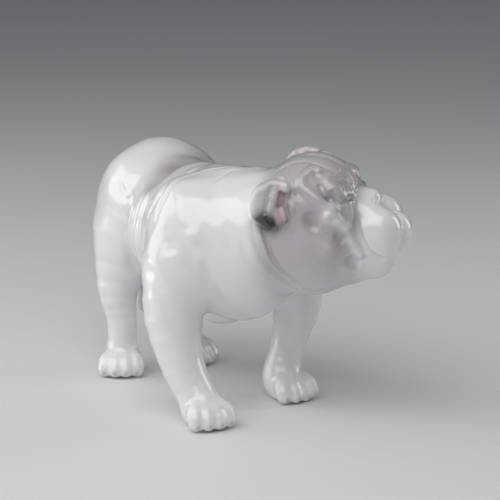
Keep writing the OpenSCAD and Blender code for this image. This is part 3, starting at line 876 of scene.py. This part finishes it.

# %% [markdown]
# ## The glaze
#
# Fired porcelain is a white, slightly translucent body under a thin layer of clear glass. The
# base of the shader is the coloured body, and its coat is the glass. The glass pools and
# ripples very slightly, so a faint noise bends its reflections, and the sprayed pigments are
# broken up by a second noise, as the fine spatter of an airbrush is.

# %% Glaze material
# The saddle layer is partly warm grey spray and partly painted shade in the dip of the back; the grey
# layer holds painted shade in the face's creases and painted highlights on its ridges.
PIGMENTS = [("saddle", (0.33, 0.28, 0.30), 0.68), ("grey", (0.33, 0.285, 0.315), 0.74),
            ("pink", (0.82, 0.55, 0.58), 0.75), ("black", (0.02, 0.018, 0.022), 1.0),
            ("blue", (0.10, 0.13, 0.19), 0.9), ("brush", (0.12, 0.11, 0.12), 0.55)]


def glaze(name, body_colour):
    material = bpy.data.materials.new(name)
    material.use_nodes = True
    nodes, links = material.node_tree.nodes, material.node_tree.links
    shader = nodes["Principled BSDF"]
    shader.inputs["Roughness"].default_value = 0.32
    shader.inputs["IOR"].default_value = 1.5
    shader.inputs["Coat Weight"].default_value = 1.0
    shader.inputs["Coat Roughness"].default_value = 0.035
    shader.inputs["Coat IOR"].default_value = 1.52

    place = nodes.new("ShaderNodeTexCoord")
    cloud = nodes.new("ShaderNodeTexNoise")
    cloud.inputs["Scale"].default_value = 55
    cloud.inputs["Detail"].default_value = 3
    links.new(place.outputs["Object"], cloud.inputs["Vector"])
    tone = nodes.new("ShaderNodeMix")
    tone.data_type = "RGBA"
    tone.inputs["A"].default_value = (*body_colour, 1)
    tone.inputs["B"].default_value = (*(c * 0.955 for c in body_colour), 1)
    links.new(cloud.outputs["Fac"], tone.inputs["Factor"])
    colour = tone.outputs["Result"]

    spatter = nodes.new("ShaderNodeTexNoise")
    spatter.inputs["Scale"].default_value = 2600
    spatter.inputs["Detail"].default_value = 2
    links.new(place.outputs["Object"], spatter.inputs["Vector"])
    grain = nodes.new("ShaderNodeMapRange")
    grain.inputs["From Min"].default_value = 0.3
    grain.inputs["From Max"].default_value = 0.7
    grain.inputs["To Min"].default_value = 0.8
    grain.inputs["To Max"].default_value = 1.1
    links.new(spatter.outputs["Fac"], grain.inputs["Value"])
    for pigment, pigment_colour, strength in PIGMENTS:
        amount = nodes.new("ShaderNodeAttribute")
        amount.attribute_name = pigment
        uneven = nodes.new("ShaderNodeMath")
        uneven.operation = "MULTIPLY"
        links.new(amount.outputs["Fac"], uneven.inputs[0])
        links.new(grain.outputs["Result"], uneven.inputs[1])
        opacity = nodes.new("ShaderNodeMath")
        opacity.operation = "MULTIPLY"
        opacity.use_clamp = True
        opacity.inputs[1].default_value = strength
        links.new(uneven.outputs[0], opacity.inputs[0])
        layer = nodes.new("ShaderNodeMix")
        layer.data_type = "RGBA"
        layer.inputs["B"].default_value = (*pigment_colour, 1)
        links.new(opacity.outputs[0], layer.inputs["Factor"])
        links.new(colour, layer.inputs["A"])
        colour = layer.outputs["Result"]
    links.new(colour, shader.inputs["Base Color"])

    ripple = nodes.new("ShaderNodeTexNoise")
    ripple.inputs["Scale"].default_value = 160
    ripple.inputs["Detail"].default_value = 1
    links.new(place.outputs["Object"], ripple.inputs["Vector"])
    bend = nodes.new("ShaderNodeBump")
    bend.inputs["Strength"].default_value = 0.12
    bend.inputs["Distance"].default_value = 0.0004
    links.new(ripple.outputs["Fac"], bend.inputs["Height"])
    links.new(bend.outputs["Normal"], shader.inputs["Coat Normal"])
    return material


WHITE = (0.83, 0.82, 0.84)
glazes = {slot: glaze(slot, WHITE) for slot in ("white_glaze", "head_glaze", "ear_glaze")}
print("Glazes:", ", ".join(glazes))

# %% [markdown]
# ## The nine castings
#
# Each part takes its own triangles and closes every seam with a fan of faces, so that it is a
# whole, closed casting that meets its neighbour face to face. The middle of each fan is tried
# in a few places and kept where the fan stays deepest inside the clay. The shading normals
# come from the skin of the whole dog, so the sponged joints don't show.

# %% Close each casting
def seam_caps(faces, labels, points):
    """For every pair of neighbouring parts: the directed edges of each part's side."""
    half = np.concatenate([faces[:, [0, 1]], faces[:, [1, 2]], faces[:, [2, 0]]])
    owner = np.tile(labels, 3)
    key = np.sort(half, axis=1)
    order = np.lexsort((key[:, 1], key[:, 0]))
    first, second = order[0::2], order[1::2]
    apart = owner[first] != owner[second]
    caps = {}
    for mine, other in ((first[apart], second[apart]), (second[apart], first[apart])):
        for a, b in set(zip(owner[mine], owner[other])):
            picked = mine[(owner[mine] == a) & (owner[other] == b)]
            caps.setdefault((a, b), []).append(half[picked])
    return {pair: np.concatenate(edges) for pair, edges in caps.items()}


caps = seam_caps(faces, labels, corners)
normals = in_chunks(lambda p: slope(dog_skin, p), corners)
colour_and_light_layers = sprays_and_painted_light(corners)
floor_shift = mark * (1, 1, 0)


FAN_STEPS = [np.array([x, y, z], float) for x in (0, -5, 5) for y in (0, -6, 6, -12, 12)
             for z in (0, -6, 6, -12, 12)]
FAN_SHARES = (0.3, 0.6, 0.85)
WORTH_MOVING = 0.05


def fan_middle(edges):
    """The middle of a seam, moved to where the whole fan lies inside the clay."""
    rim = corners[np.unique(edges)]
    best, best_height = None, np.inf
    for step in FAN_STEPS:
        middle = rim.mean(0) + step
        inside = np.concatenate([middle + (rim - middle) * share for share in FAN_SHARES])
        height = dog_skin(inside).max()
        if height < best_height - WORTH_MOVING:
            best, best_height = middle, height
    return best


middles = {(a, b): fan_middle(edges) for (a, b), edges in sorted(caps.items()) if a < b}


def casting(k, name):
    own = [faces[labels == k]]
    extra = []
    for (a, b), edges in sorted(caps.items()):
        if a != k:
            continue
        middle = len(corners) + len(extra)
        extra.append(middles[min(a, b), max(a, b)])
        own.append(np.stack([edges[:, 1], edges[:, 0], np.full(len(edges), middle)], 1))
    own = np.concatenate(own)
    used, own = np.unique(own, return_inverse=True)
    own = own.reshape(-1, 3)
    points = np.vstack([corners] + [np.array(extra).reshape(-1, 3)])[used]
    mesh = bpy.data.meshes.new(name)
    mesh.from_pydata(((points + floor_shift) * MM).tolist(), [], own.tolist())
    way = np.vstack([normals, np.tile((0.0, 0.0, 1.0), (len(extra), 1))])[used]
    mesh.polygons.foreach_set("use_smooth", np.ones(len(own), bool))
    for pigment, amount in colour_and_light_layers.items():
        whole = np.concatenate([amount, np.zeros(len(extra))])[used]
        mesh.attributes.new(pigment, "FLOAT", "POINT").data.foreach_set("value", whole.astype("f"))
    mesh.normals_split_custom_set_from_vertices(way.tolist())
    piece = bpy.data.objects.new("glazed_" + name, mesh)
    bpy.context.scene.collection.objects.link(piece)
    return piece


SLOTS = {"head": "head_glaze", "left_ear": "ear_glaze", "right_ear": "ear_glaze"}
for k, name in enumerate(names):
    piece = casting(k, name)
    slot = SLOTS.get(name, "white_glaze")
    piece.data.materials.append(glazes[slot])
    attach(piece, "root")
    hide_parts(name)
    print(f"{piece.name}: {len(piece.data.polygons)} faces")

# %% [markdown]
# ## The studio
#
# A glossy white object is shown by what it reflects. A broad soft box hangs above and in
# front of the dog and gives the long highlight on its back. A second one stands on the left
# with a low strip below it, a weak one on the right draws the muzzle, a wide ceiling light
# lifts the shadows, and a pale paper sweep lies below.

# %% Floor and lights
def area_light(name, at, aim, size, power):
    light = bpy.data.lights.new(name, "AREA")
    light.shape = "RECTANGLE"
    light.size, light.size_y = size
    light.energy = power
    lamp = bpy.data.objects.new(name, light)
    bpy.context.scene.collection.objects.link(lamp)
    way = Vector(aim) - Vector(at)
    lamp.location = at
    lamp.rotation_euler = way.to_track_quat("-Z", "Y").to_euler()


VIEW_AZIMUTH = math.radians(60)
across = np.array([math.cos(VIEW_AZIMUTH), math.sin(VIEW_AZIMUTH), 0])
towards = np.array([math.sin(VIEW_AZIMUTH), -math.cos(VIEW_AZIMUTH), 0])
MIDDLE_HEIGHT = 0.075
centre = np.array([(cad_box[0][0] + cad_box[1][0]) / 2, (cad_box[0][1] + cad_box[1][1]) / 2,
                   MIDDLE_HEIGHT])
up = np.array([0, 0, 1.0])

area_light("ceiling", centre + 3.0 * up, centre, (4, 4), 10)
area_light("big_box", centre - 0.30 * across + 0.58 * towards + 0.74 * up, centre, (1.3, 0.9), 7.0)
area_light("left_box", centre - 1.0 * across - 0.12 * towards + 0.42 * up, centre, (0.90, 0.70), 3.2)
area_light("low_box", centre - 0.95 * across - 0.05 * towards - 0.01 * up, centre, (0.45, 0.11), 0.5)
area_light("right_box", centre + 0.9 * across - 0.25 * towards + 0.3 * up, centre, (0.3, 0.6), 1.6)

world = bpy.data.worlds.new("studio")
bpy.context.scene.world = world
world.use_nodes = True
world.node_tree.nodes["Background"].inputs["Color"].default_value = (0.42, 0.43, 0.46, 1)
world.node_tree.nodes["Background"].inputs["Strength"].default_value = 0.32

paper = bpy.data.meshes.new("floor")
paper.from_pydata([(-6, -6, 0), (6, -6, 0), (6, 6, 0), (-6, 6, 0)], [], [(0, 1, 2, 3)])
floor = bpy.data.objects.new("floor", paper)
bpy.context.scene.collection.objects.link(floor)
paper_finish = bpy.data.materials.new("paper")
paper_finish.use_nodes = True
paper_shader = paper_finish.node_tree.nodes["Principled BSDF"]
paper_shader.inputs["Base Color"].default_value = (0.78, 0.78, 0.79, 1)
paper_shader.inputs["Roughness"].default_value = 0.6
paper.materials.append(paper_finish)
bpy.context.scene.view_settings.view_transform = "Standard"

# %% [markdown]
# ## The camera
#
# A long lens, about 0.9 m away and a little above the dog, looks at its right front.

# %% Camera
CAMERA_AT = np.array([761.05, -410.26, 261.01])
CAMERA_TILT = 12.079
LENS = 119.88
camera = bpy.data.objects.new("camera", bpy.data.cameras.new("camera"))
bpy.context.scene.collection.objects.link(camera)
camera.data.lens = LENS
camera.location = (CAMERA_AT + floor_shift) * MM
camera.rotation_euler = (math.radians(90 - CAMERA_TILT), 0, VIEW_AZIMUTH)
camera.data.clip_start = 0.05
camera.data.clip_end = 30
bpy.context.scene.camera = camera
